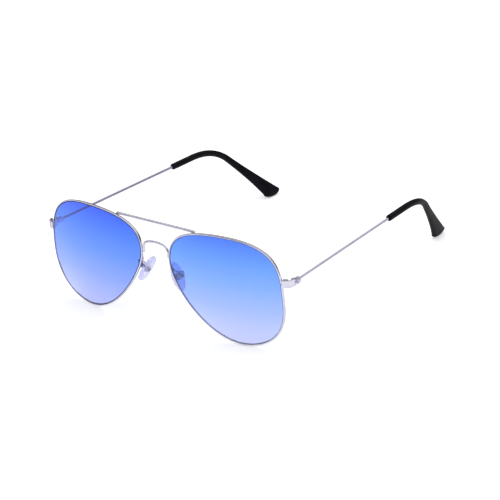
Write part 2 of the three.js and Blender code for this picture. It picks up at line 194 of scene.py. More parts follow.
def through(knots: Sequence[Vector], steps: int = 24) -> Polyline:
    """A smooth line through the knots, with no loops between near ones.

    Args:
        knots: The points it passes.
        steps: How many short pieces go between two knots.

    Returns:
        The line.
    """
    ends = [knots[0] * 2.0 - knots[1], *knots, knots[-1] * 2.0 - knots[-2]]
    points = []
    for p0, p1, p2, p3 in zip(ends, ends[1:], ends[2:], ends[3:]):
        gaps = [math.sqrt((b - a).length) for a, b in ((p0, p1), (p1, p2), (p2, p3))]
        t0, t1 = 0.0, gaps[0]
        t2 = t1 + gaps[1]
        t3 = t2 + gaps[2]
        for i in range(steps):
            t = t1 + (t2 - t1) * i / steps
            a1 = p0.lerp(p1, (t - t0) / (t1 - t0))
            a2 = p1.lerp(p2, (t - t1) / (t2 - t1))
            a3 = p2.lerp(p3, (t - t2) / (t3 - t2))
            b1 = a1.lerp(a2, (t - t0) / (t2 - t0))
            b2 = a2.lerp(a3, (t - t1) / (t3 - t1))
            points.append(b1.lerp(b2, (t - t1) / (t2 - t1)))
    return Polyline([*points, knots[-1].copy()])


def tube_rings(
    line: Polyline,
    radius: Callable[[float], float],
    steps: int,
    sides: int,
    up: Vector,
    rounded: bool = False,
) -> list[Ring]:
    """Round rings along a line.

    Args:
        line: The centre line.
        radius: Gives the radius at a fraction of the length.
        steps: How many pieces the line is cut into.
        sides: How many points each ring has.
        up: A direction that the line never follows.
        rounded: Whether both ends are domed.

    Returns:
        The rings from end to end.
    """
    section = circle(sides)

    def ring(fraction: float, shrink: float = 1.0, past: float = 0.0) -> Ring:
        """One ring.

        Args:
            fraction: Where it is on the line.
            shrink: How far it is drawn in, from 1 down to 0.
            past: How far it is moved along the line.

        Returns:
            The ring.
        """
        centre, along = line.at(fraction), line.along(fraction)
        across = up.cross(along).normalized()
        over = along.cross(across)
        size = radius(fraction) * shrink
        return [centre + along * past + across * (x * size) + over * (y * size) for x, y in section]

    dome = [math.radians(a) for a in (12, 30, 48, 64, 78)]
    rings = [ring(i / steps) for i in range(steps + 1)]
    if rounded:
        before = [ring(0.0, math.sin(a), -radius(0.0) * math.cos(a)) for a in dome]
        after = [ring(1.0, math.sin(a), radius(1.0) * math.cos(a)) for a in reversed(dome)]
        rings = [*before, *rings, *after]
    return rings


# ---- Solids -------------------------------------------------------------------------------------


@dataclass
class Solid:
    """A mesh that is being made, in the left side's place."""

    bm: bmesh.types.BMesh = field(default_factory=bmesh.new)
    bevel_angle: float = 32.0

    def loft(self, rings: Sequence[Ring]) -> "Solid":
        """Adds a skin over rings of equal size, capped at both ends.

        Args:
            rings: The rings from end to end.

        Returns:
            This solid.
        """
        rows = [[self.bm.verts.new(p) for p in ring] for ring in rings]
        size = len(rows[0])
        for low, high in zip(rows, rows[1:]):
            for j in range(size):
                k = (j + 1) % size
                self.bm.faces.new((low[j], low[k], high[k], high[j]))
        self.bm.faces.new(list(reversed(rows[0])))
        self.bm.faces.new(rows[-1])
        return self

    def slab(
        self, outline: Iterable[tuple[float, float]], low: float, high: float, edge: float
    ) -> "Solid":
        """Adds a plate with eased edges.

        Args:
            outline: Its plan.
            low: The level of its underside.
            high: The level of its top.
            edge: How far the sharp edges are rounded.

        Returns:
            This solid.
        """
        plan = list(outline)
        bottom = [self.bm.verts.new((x, y, low)) for x, y in plan]
        top = [self.bm.verts.new((x, y, high)) for x, y in plan]
        faces = [self.bm.faces.new(list(reversed(bottom))), self.bm.faces.new(top)]
        count = len(plan)
        for i in range(count):
            j = (i + 1) % count
            faces.append(self.bm.faces.new((bottom[i], bottom[j], top[j], top[i])))
        limit = math.radians(self.bevel_angle)
        sharp = {e for f in faces for e in f.edges if e.calc_face_angle(0.0) > limit}
        bmesh.ops.bevel(
            self.bm,
            geom=list(sharp),
            offset=edge,
            segments=3,
            profile=0.5,
            affect="EDGES",
            clamp_overlap=True,
        )
        return self

    def block(self, low: Sequence[float], high: Sequence[float], edge: float) -> "Solid":
        """Adds a rectangular block with eased edges.

        Args:
            low: Its lowest corner.
            high: Its highest corner.
            edge: How far the edges are rounded.

        Returns:
            This solid.
        """
        plan = [(low[0], low[1]), (high[0], low[1]), (high[0], high[1]), (low[0], high[1])]
        return self.slab(plan, low[2], high[2], edge)

    def turned(
        self, centre: tuple[float, float], profile: Sequence[tuple[float, float]], sides: int = 32
    ) -> "Solid":
        """Adds a piece turned on a lathe about an upright axis.

        Args:
            centre: Where the axis is in plan.
            profile: Radius and level from the bottom to the top.
            sides: How many points each ring has.

        Returns:
            This solid.
        """
        section = circle(sides)
        cx, cy = centre
        rings = [[Vector((cx + x * r, cy + y * r, z)) for x, y in section] for r, z in profile]
        return self.loft(rings)

    def moved(self, matrix: Matrix) -> "Solid":
        """Moves everything made so far.

        Args:
            matrix: The move.

        Returns:
            This solid.
        """
        self.bm.transform(matrix)
        return self


# A piece of one side: its solid, name, body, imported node, finish in the record, and material.
Row = tuple[Solid, str, str, str, Slot, bpy.types.Material]


@dataclass
class Bench:
    """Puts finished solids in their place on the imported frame."""

    shift: Vector
    sharp_angle: float = 34.0

    @classmethod
    def on_frame(cls, bar: "BrowBar") -> "Bench":
        """Finds the move from the maker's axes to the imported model's.

        Args:
            bar: The brow bar, whose middle is known in both.

        Returns:
            The bench.
        """
        low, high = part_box("brow_bar")
        return cls((low + high) / 2.0 / MM - Vector((0.0, bar.back, bar.level)))

    def fit(
        self,
        solid: Solid,
        name: str,
        side: Side,
        body: str,
        nodes: Sequence[str],
        slot: Slot,
        *finishes: bpy.types.Material,
    ) -> None:
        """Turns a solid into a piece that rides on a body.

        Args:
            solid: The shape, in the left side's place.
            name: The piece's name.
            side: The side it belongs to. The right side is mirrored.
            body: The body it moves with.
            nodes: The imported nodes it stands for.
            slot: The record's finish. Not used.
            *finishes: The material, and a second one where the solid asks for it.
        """
        bm = solid.bm
        bmesh.ops.recalc_face_normals(bm, faces=bm.faces)
        for vert in bm.verts:
            vert.co = (Vector((vert.co.x * side.value, vert.co.y, vert.co.z)) + self.shift) * MM
        if side is Side.RIGHT:
            bmesh.ops.reverse_faces(bm, faces=bm.faces)
        limit = math.radians(self.sharp_angle)
        for edge in bm.edges:
            edge.smooth = edge.calc_face_angle(0.0) < limit
        for face in bm.faces:
            face.smooth = True
        mesh = bpy.data.meshes.new(name)
        bm.to_mesh(mesh)
        bm.free()
        for finish in finishes:
            mesh.materials.append(finish)
        piece = bpy.data.objects.new(name, mesh)
        bpy.context.scene.collection.objects.link(piece)
        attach(piece, body)
        if nodes:
            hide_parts(*nodes)
        LOG.info("%s: %d faces on %s", name, len(mesh.polygons), body)

    def fit_side(self, side: Side, rows: Iterable[Row]) -> None:
        """Fits pieces that both sides have, with that side's tag on every name but the front's.

        Args:
            side: The side they belong to.
            rows: The pieces, in order.
        """
        for solid, name, body, node, slot, finish in rows:
            rider = body if body == FRONT else f"{body}_{side.tag}"
            nodes = [f"{node}_{side.tag}"] if node else []
            self.fit(solid, f"{name}_{side.tag}", side, rider, nodes, slot, finish)


# ---- Finishes -----------------------------------------------------------------------------------


@dataclass
class Recipe:
    """A material's nodes, with short ways to add and join them."""

    name: str
    material: bpy.types.Material = field(init=False)

    def __post_init__(self) -> None:
        """Starts an empty material with one shader and its output."""
        self.material = bpy.data.materials.new(self.name)
        self.material.use_nodes = True
        self.nodes = self.material.node_tree.nodes
        self.links = self.material.node_tree.links
        self.nodes.clear()
        self.shader = self.add("ShaderNodeBsdfPrincipled")
        self.join(self.shader, "BSDF", self.add("ShaderNodeOutputMaterial"), "Surface")
        self.place = self.add("ShaderNodeTexCoord")

    def add(self, kind: str, **values: object) -> bpy.types.Node:
        """Adds a node.

        Args:
            kind: Its type.
            **values: Its input sockets, with _ for a space, and their values.

        Returns:
            The node.
        """
        node = self.nodes.new(kind)
        for key, value in values.items():
            node.inputs[key.replace("_", " ")].default_value = value
        return node

    def join(self, a: bpy.types.Node, out: str, b: bpy.types.Node, into: str) -> None:
        """Joins one node's output to another's input."""
        self.links.new(a.outputs[out], b.inputs[into])

    def surface(self, **values: object) -> "Recipe":
        """Sets the shader's own sockets.

        Args:
            **values: Socket names, with _ for a space, and their values.

        Returns:
            This recipe.
        """
        for key, value in values.items():
            self.shader.inputs[key.replace("_", " ")].default_value = value
        return self

    def noise(
        self, scale: float, detail: float = 4.0, stretch: Place = (1.0, 1.0, 1.0)
    ) -> bpy.types.Node:
        """Adds a noise that is fixed to the piece.

        Args:
            scale: How fine it is, per metre.
            detail: How many finer layers it has.
            stretch: How it is squeezed along each axis.

        Returns:
            The noise node, whose output is Fac.
        """
        mapping = self.add("ShaderNodeMapping", Scale=stretch)
        self.join(self.place, "Object", mapping, "Vector")
        node = self.add("ShaderNodeTexNoise", Scale=scale, Detail=detail)
        self.join(mapping, "Vector", node, "Vector")
        return node

    def tone(
        self, source: bpy.types.Node, out: str, stops: Sequence[tuple[float, Colour]]
    ) -> None:
        """Drives the base colour through a ramp.

        Args:
            source: The node that drives it.
            out: That node's output.
            stops: Places on the ramp and their colours.
        """
        node = self.add("ShaderNodeValToRGB")
        elements = node.color_ramp.elements
        while len(elements) < len(stops):
            elements.new(0.5)
        for element, (place, colour) in zip(elements, stops):
            element.position = place
            element.color = (*colour, 1.0)
        self.join(source, out, node, "Fac")
        self.join(node, "Color", self.shader, "Base Color")

    def roughen(self, noise: bpy.types.Node, low: float, high: float) -> None:
        """Drives the roughness with a noise.

        Args:
            noise: The noise, which seldom leaves 0.3 to 0.7.
            low: The least roughness.
            high: The most.
        """
        node = self.add("ShaderNodeMapRange", From_Min=0.3, From_Max=0.7, To_Min=low, To_Max=high)
        self.join(noise, "Fac", node, "Value")
        self.join(node, "Result", self.shader, "Roughness")

    def bump(self, noise: bpy.types.Node, depth: float) -> None:
        """Raises the surface where a noise is high.

        Args:
            noise: The noise.
            depth: The height in metres.
        """
        node = self.add("ShaderNodeBump", Distance=depth, Strength=0.6)
        self.join(noise, "Fac", node, "Height")
        self.join(node, "Normal", self.shader, "Normal")


# What the bare metals reflect where they are seen nearly edge on.
EDGE_TINT = (0.5, 0.5, 0.58, 1.0)


@dataclass(frozen=True)
class PolishedMetal:
    """Silver plating over wire: a little cool, with faint drawing marks and handling haze."""

    name: str
    pale: Colour = (0.61, 0.6, 0.7)
    dull: Colour = (0.56, 0.55, 0.645)
    smooth: float = 0.10
    rough: float = 0.17

    def make(self) -> bpy.types.Material:
        """Builds the material.

        Returns:
            The material.
        """
        recipe = Recipe(self.name).surface(Metallic=1.0, Specular_Tint=EDGE_TINT)
        haze = recipe.noise(260.0, 5.0)
        recipe.tone(haze, "Fac", [(0.36, self.dull), (0.58, self.pale)])
        recipe.roughen(recipe.noise(900.0, 3.0), self.smooth, self.rough)
        recipe.bump(recipe.noise(2600.0, 2.0, (1.0, 0.25, 1.0)), 1.2e-6)
        return recipe.material


@dataclass(frozen=True)
class TurnedSteel:
    """Machined steel for screws, boxes and plates: fine tool marks that vary its tone, roughness
    and surface.
    """

    name: str
    pale: Colour = (0.66, 0.66, 0.74)
    dark: Colour = (0.46, 0.46, 0.53)

    def make(self) -> bpy.types.Material:
        """Builds the material.

        Returns:
            The material.
        """
        recipe = Recipe(self.name).surface(Metallic=1.0, Specular_Tint=EDGE_TINT)
        marks = recipe.noise(3200.0, 3.0, (1.0, 1.0, 5.0))
        recipe.tone(marks, "Fac", [(0.32, self.dark), (0.6, self.pale)])
        recipe.roughen(marks, 0.2, 0.38)
        recipe.bump(marks, 8.0e-6)
        return recipe.material


@dataclass(frozen=True)
class FadedTint:
    """Clear polymer with a blue dye that fades from brow to cheek, and a trace of finger haze."""

    name: str
    bottom: float
    top: float
    # depth is a power on the dye colours; above 1 it darkens the whole tint as painted shade.
    depth: float = 1.0
    stops: tuple[tuple[float, Colour], ...] = (
        (0.0, (0.63, 0.67, 0.98)),
        (0.13, (0.52, 0.59, 0.97)),
        (0.35, (0.325, 0.45, 0.96)),
        (0.58, (0.18, 0.36, 0.95)),
        (0.8, (0.089, 0.27, 0.94)),
        (1.0, (0.035, 0.15, 0.87)),
    )

    def make(self) -> bpy.types.Material:
        """Builds the material.

        Returns:
            The material.
        """
        recipe = Recipe(self.name).surface(
            Transmission_Weight=1.0, IOR=1.5, Coat_Weight=0.15, Coat_Roughness=0.03
        )
        split = recipe.add("ShaderNodeSeparateXYZ")
        recipe.join(recipe.place, "Object", split, "Vector")
        height = recipe.add("ShaderNodeMapRange", From_Min=self.bottom, From_Max=self.top)
        recipe.join(split, "Z", height, "Value")
        # The power darkens every stop; on the right lens this is painted shade, not a different
        # dye.
        shaded_stops = [(at, tuple(part**self.depth for part in dye)) for at, dye in self.stops]
        recipe.tone(height, "Result", shaded_stops)
        recipe.roughen(recipe.noise(90.0, 5.0), 0.0, 0.012)
        return recipe.material


@dataclass(frozen=True)
class ClearSilicone:
    """Soft clear silicone with a milky, faintly violet body and a smooth skin."""

    name: str
    clear: Colour = (0.74, 0.75, 0.97)
    milky: Colour = (0.67, 0.68, 0.94)

    def make(self) -> bpy.types.Material:
        """Builds the material.

        Returns:
            The material.
        """
        recipe = Recipe(self.name).surface(
            Transmission_Weight=0.82, IOR=1.15, Coat_Weight=0.12, Coat_Roughness=0.2
        )
        cloud = recipe.noise(420.0, 4.0)
        recipe.tone(cloud, "Fac", [(0.35, self.milky), (0.62, self.clear)])
        recipe.roughen(cloud, 0.44, 0.56)
        recipe.bump(recipe.noise(1500.0, 2.0), 6.0e-6)
        return recipe.material


@dataclass(frozen=True)
class SatinPlastic:
    """Black plastic with a satin skin: a fine moulded grain and a soft bluish sheen."""

    name: str
    deep: Colour = (0.0035, 0.0035, 0.0055)
    worn: Colour = (0.007, 0.007, 0.010)

    def make(self) -> bpy.types.Material:
        """Builds the material.

        Returns:
            The material.
        """
        recipe = Recipe(self.name).surface(Specular_IOR_Level=0.2, IOR=1.22)
        cloud = recipe.noise(160.0, 5.0)
        recipe.tone(cloud, "Fac", [(0.38, self.deep), (0.66, self.worn)])
        recipe.roughen(cloud, 0.36, 0.48)
        recipe.bump(recipe.noise(5200.0, 2.0), 1.0e-5)
        return recipe.material


@dataclass(frozen=True)
class SeamAndShadeMetal:
    """The slightly dull, darker metal where two wires are brazed together; a much darker copy
    paints shade on the rims' front lips and colours the pad bars.
    """

    name: str
    bright: Colour = (0.50, 0.50, 0.55)
    dark: Colour = (0.16, 0.16, 0.19)

    def make(self) -> bpy.types.Material:
        """Builds the material.

        Returns:
            The material.
        """
        recipe = Recipe(self.name).surface(Metallic=1.0, Specular_Tint=EDGE_TINT)
        grain = recipe.noise(1900.0, 5.0)
        recipe.tone(grain, "Fac", [(0.4, self.dark), (0.66, self.bright)])
        recipe.roughen(grain, 0.28, 0.5)
        recipe.bump(grain, 3.0e-5)
        return recipe.material


@dataclass(frozen=True)
class PaleFloor:
    """A matt white table top with a trace of paper grain."""

    name: str
    white: Colour = (0.93, 0.93, 0.935)
    grey: Colour = (0.915, 0.915, 0.92)

    def make(self) -> bpy.types.Material:
        """Builds the material.

        Returns:
            The material.
        """
        recipe = Recipe(self.name).surface(
            Roughness=0.9,
            Specular_IOR_Level=0.1,
            Emission_Color=(1.0, 1.0, 1.0, 1.0),
            Emission_Strength=0.34,
        )
        grain = recipe.noise(40.0, 6.0)
        recipe.tone(grain, "Fac", [(0.3, self.grey), (0.7, self.white)])
        return recipe.material


@dataclass(frozen=True)
class Finishes:
    """One made material for each finish, plus darker copies of the wire metal and the tint that
    paint shade on the right side, and a very dark metal that paints shade on the rims' front lips.
    """

    metal: bpy.types.Material
    wires: dict[Side, bpy.types.Material]
    steel: bpy.types.Material
    tints: dict[Side, bpy.types.Material]
    silicone: bpy.types.Material
    plastic: bpy.types.Material
    braze: bpy.types.Material
    # groove holds the very dark metal that paints shade on the rims' front lips; the pad bars use
    # it too.
    groove: bpy.types.Material

    @classmethod
    def mixed(cls) -> "Finishes":
        """Makes every finish, with the tint fitted to the height of the lenses, and painted shade
        on the right wire, the right lens and the rims' front lips.

        Returns:
            The finishes.
        """
        low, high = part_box("lens_left")
        # The right side wire gets a darker copy of the wire metal: painted shade, since both wires
        # are the same metal.
        darker = PolishedMetal("drawn_wire_right_painted_shade", pale=(0.34, 0.33, 0.43), dull=(0.29, 0.28, 0.38))
        # A very dark copy of the seam metal: painted shade for the rims' front lips, also used on
        # the pad bars.
        lip = SeamAndShadeMetal("lip_painted_shade_and_pad_bars", bright=(0.07, 0.07, 0.1), dark=(0.015, 0.015, 0.025))
        return cls(
            metal=PolishedMetal("polished_metal").make(),
            wires={
                Side.LEFT: PolishedMetal("drawn_wire_left").make(),
                Side.RIGHT: darker.make(),
            },
            steel=TurnedSteel("turned_steel").make(),
            tints={
                Side.LEFT: FadedTint("faded_tint_left", low.z, high.z).make(),
                # The right lens takes the same tint made darker: painted shade.
                Side.RIGHT: FadedTint("faded_tint_right_painted_shade", low.z, high.z, depth=1.36).make(),
            },
            silicone=ClearSilicone("clear_silicone").make(),
            plastic=SatinPlastic("satin_plastic").make(),
            braze=SeamAndShadeMetal("brazed_seam").make(),
            groove=lip.make(),
        )


# ---- The eye: rim and lens ----------------------------------------------------------------------


@dataclass
class EyeShape:
    """The outline that a rim and its lens share, on the lens sphere.

    Attributes:
        spacing: How far the middle of the lens is from the middle of the frame.
        wrap: How far each eye is turned back, in degrees.
        radius: The lens sphere's radius.
        temple: The outline's outermost point, across and up from the middle of the lens.
        top: Its highest point.
        nasal: Its point nearest the nose.
        bottom: Its lowest point.
        pulls: How far the curve runs straight on before and after each of the four points,
            in order from the temple over the top.
        lock_level: The level of the rim's split.
        split: The width of the split.
    """

    spacing: float = 37.2
    wrap: float = 6.3
    radius: float = 130.0
    temple: tuple[float, float] = (29.0, -2.8)
    top: tuple[float, float] = (0.2, 24.6)
    nasal: tuple[float, float] = (-28.9, 9.0)
    bottom: tuple[float, float] = (7.3, -24.85)
    pulls: tuple[float, ...] = (13.6, 29.1, 23.3, 8.8, 10.3, 17.9, 3.6, 20.9)
    lock_level: float = 6.9
    split: float = 0.4

    def __post_init__(self) -> None:
        """Draws the outline from its four corners and finds where the rim is split."""
        up, out, inwards, rise, fall, left, right, low = self.pulls
        (tu, tv), (pu, pv), (nu, nv), (bu, bv) = self.temple, self.top, self.nasal, self.bottom
        runs = [
            [(tu, tv), (tu, tv + up), (pu + out, pv), (pu, pv)],
            [(pu, pv), (pu - inwards, pv), (nu, nv + rise), (nu, nv)],
            [(nu, nv), (nu, nv - fall), (bu - left, bv), (bu, bv)],
            [(bu, bv), (bu + right, bv), (tu, tv - low), (tu, tv)],
        ]
        points = [p for run in runs for p in bezier([Vector((u, v, 0.0)) for u, v in run], 90)]
        self.outline = Polyline([*points, points[0].copy()])
        self.lock = 0.0
        while self.outline.at(self.lock).y < self.lock_level:
            self.lock += 0.0005

    @property
    def matrix(self) -> Matrix:
        """The place of the left eye."""
        turn = Matrix.Rotation(math.radians(self.wrap), 4, "Z")
        return Matrix.Translation((self.spacing, 0.0, 0.0)) @ turn

    def on_sphere(self, u: float, v: float) -> tuple[Vector, Vector]:
        """A point on the lens sphere, with the direction straight out of its front."""
        sag = self.radius - math.sqrt(self.radius**2 - u * u - v * v)
        return Vector((u, sag, v)), Vector((u, sag - self.radius, v)).normalized()

    def edge(self, fraction: float) -> tuple[Vector, Vector, Vector]:
        """The frame at a place on the outline.

        Args:
            fraction: How far round, from the temple corner.

        Returns:
            The point, the direction out of the lens and the direction forwards.
        """
        turn = fraction % 1.0
        p = self.outline.at(turn)
        t = self.outline.at((turn + 0.001) % 1.0) - self.outline.at((turn - 0.001) % 1.0)
        centre, forward = self.on_sphere(p.x, p.y)
        along = Vector((t.x, 0.0, t.y))
        along = (along - forward * along.dot(forward)).normalized()
        out = along.cross(forward).normalized()
        if out.x * p.x + out.z * p.y < 0.0:
            out.negate()
        return centre, out, forward

    def stations(self, steps: int) -> list[tuple[Vector, Vector, Vector]]:
        """Frames all round, from one side of the split to the other.

        Args:
            steps: How many short pieces the outline is cut into.

        Returns:
            The point, the direction outwards and the direction forwards at each.
        """
        gap = self.split / self.outline.length / 2.0
        start, run = self.lock + gap, 1.0 - 2.0 * gap
        return [self.edge(start + run * i / steps) for i in range(steps + 1)]


@dataclass
class EyeRim:
    """The drawn wire that holds a lens in its groove.

    Attributes:
        shape: The outline that it follows.
        inner: The wire's inner side, measured outwards from the outline.
        outer: Its outer side.
        half: Half its width, front to back.
        corner: How round its outer edges are.
        groove: The bottom of the groove.
        groove_half: Half the groove's width.
        lip: How wide the slanted lip in front of the groove is.
        steps: How many short pieces it has.
    """

    shape: EyeShape
    inner: float = -0.35
    outer: float = 0.55
    half: float = 0.6
    corner: float = 0.26
    groove: float = 0.2
    groove_half: float = 0.4
    lip: float = 0.36
    steps: int = 220

    def section(self) -> Outline:
        """The wire's section: a rounded back and two lips beside the groove.

        Returns:
            Its points, each out of the lens and forwards.
        """
        i, o, h, r = self.inner, self.outer, self.half, self.corner
        points = [(i, -self.groove_half), (i, -h + 0.07), (i + 0.07, -h)]
        for cx, cy, start in ((o - r, -h + r, -90.0), (o - r, h - r, 0.0)):
            for k in range(6):
                a = math.radians(start + 18.0 * k)
                points.append((cx + r * math.cos(a), cy + r * math.sin(a)))
            if start < 0.0:
                points.append((o + 0.015, 0.0))
        points += [(i + self.lip, h), (i, h - 0.12), (i, self.groove_half), (self.groove, 0.0)]
        return points

    def build(self) -> Solid:
        """Sweeps the section round the outline, with the front lip in the second finish: a very
        dark metal that paints the shade between rim and lens.

        Returns:
            The rim.
        """
        section = self.section()
        size = len(section)
        stations = self.shape.stations(self.steps)
        solid = Solid().loft([[c + o * x + f * y for x, y in section] for c, o, f in stations])
        # The slanted front lip and the face above the groove take the very dark second material: a
        # painted shade line between rim and lens.
        for index, face in enumerate(solid.bm.faces):
            if index < self.steps * size and index % size in (size - 4, size - 3):
                face.material_index = 1
        return solid.moved(self.shape.matrix)


@dataclass
class TintedLens:
    """A domed lens with a bevelled edge.

    Attributes:
        shape: The outline that it follows.
        thickness: Its thickness.
        bevel_tip: The edge's tip, measured outwards from the outline.
        bevel_base: Where the bevel meets the two faces.
        bevel_half: Half the bevel's width.
        steps: How many points go round it.
        scales: How far the rings of each face are drawn in.
    """

    shape: EyeShape
    thickness: float = 1.1
    bevel_tip: float = 0.08
    bevel_base: float = -0.45
    bevel_half: float = 0.38
    steps: int = 160
    scales: tuple[float, ...] = (0.03, 0.16, 0.34, 0.52, 0.7, 0.86, 0.96)

    def build(self) -> Solid:
        """Lofts the front face, the edge and the back face as one skin.

        Returns:
            The lens.
        """
        half = self.thickness / 2.0
        stations = self.shape.stations(self.steps)[:-1]

        def face(level: float, scale: float) -> Ring:
            """One ring of a face.

            Args:
                level: How far in front of the middle of the lens.
                scale: How far the outline is drawn in, from 1 down to 0.

            Returns:
                The ring.
            """
            ring = []
            for centre, out, _ in stations:
                p = centre + out * self.bevel_base
                on, forward = self.shape.on_sphere(p.x * scale, p.z * scale)
                ring.append(on + forward * level)
            return ring

        base, tip, bevel = self.bevel_base, self.bevel_tip, self.bevel_half
        edge = [(base, half), (base, bevel), (tip, 0.0), (base, -bevel), (base, -half)]
        rings = [face(half, s) for s in self.scales]
        rings += [[c + o * x + f * y for c, o, f in stations] for x, y in edge]
        rings += [face(-half, s) for s in reversed(self.scales)]
        return Solid().loft(rings).moved(self.shape.matrix)


# ---- Bridges ------------------------------------------------------------------------------------


@dataclass
class BrowBar:
    """The straight bar that lies across the tops of both rims.

    Attributes:
        radius: The bar's radius.
        reach: How far its ends are from the middle.
        back: How far behind the front of the rims it lies.
        level: Its level.
    """

    radius: float = 0.62
    reach: float = 22.6
    back: float = 2.25
    level: float = 24.07

    def build(self) -> Solid:
        """A straight round wire with domed ends.

        Returns:
            The bar.
        """
        end = self.reach - self.radius
        ends = [Vector((x, self.back, self.level)) for x in (-end, end)]
        line = Polyline([ends[0].lerp(ends[1], i / 40) for i in range(41)])
        rings = tube_rings(line, lambda _: self.radius, 40, 24, Vector((0, 0, 1)), rounded=True)
        return Solid().loft(rings)


@dataclass
class NoseBridge:
    """The arched lower bridge, with a leg brazed down the inside of each rim.

    Attributes:
        radius: The wire's radius.
        back: How far behind the front of the rims it lies.
        crown: The top of the arch, with its Y from back.
        side: The left half's points from the leg's foot upwards, with their Y from back.
    """

    radius: float = 0.55
    back: float = 0.64
    crown: Place = (0.0, 0.5, 14.9)
    side: tuple[Place, ...] = (
        (7.04, 0.0, 9.0),
        (7.04, 0.0, 11.2),
        (6.5, 0.1, 13.0),
        (5.1, 0.3, 14.2),
        (2.6, 0.45, 14.75),
    )

    def knots(self) -> list[Vector]:
        """The points that the wire passes, from right to left."""
        right = [(-x, y, z) for x, y, z in self.side]
        return [Vector((x, self.back + y, z)) for x, y, z in (*right, self.crown, *self.side[::-1])]

    def build(self) -> Solid:
        """A round wire along the arch."""
        line = through(self.knots())
        return Solid().loft(tube_rings(line, lambda _: self.radius, 110, 20, Vector((0, 1, 0))))


# ---- End piece, lock and hinge ------------------------------------------------------------------


@dataclass
class Screw:
    """A small slotted screw that stands upright.

    Attributes:
        x: Where it stands, across.
        y: Where it stands, back.
        radius: The shank's radius.
        low: The shank's lower end.
        high: The underside of the head.
        head: The head's radius.
        head_height: Its height.
        slot: Half the slot's width.
    """

    x: float
    y: float
    radius: float
    low: float
    high: float
    head: float
    head_height: float
    slot: float = 0.12

    def build(self) -> Solid:
        """A shank, a head with an eased rim and the slot across it.

        Returns:
            The screw.
        """
        r, h, top = self.head, self.head_height, self.high
        middle = top + h * 0.5
        shank = [(self.radius * 0.8, self.low), (self.radius, self.low + 0.1), (self.radius, top)]
        head = [(r * 0.88, top), (r, top + 0.06), (r, middle), (r * 0.97, middle + 0.001)]
        solid = Solid().turned((self.x, self.y), [*shank, *head])
        first = math.asin(self.slot / r)
        count = 20
        angles = [first + (math.pi - 2.0 * first) * i / count for i in range(count + 1)]
        half = [(0.98 * r * math.cos(a), 0.98 * r * math.sin(a)) for a in angles]
        for sign in (1.0, -1.0):
            plan = [(self.x + x, self.y + sign * y) for x, y in half]
            if sign < 0.0:
                plan.reverse()
            solid.slab(plan, middle - 0.01, top + h, 0.07)
        return solid


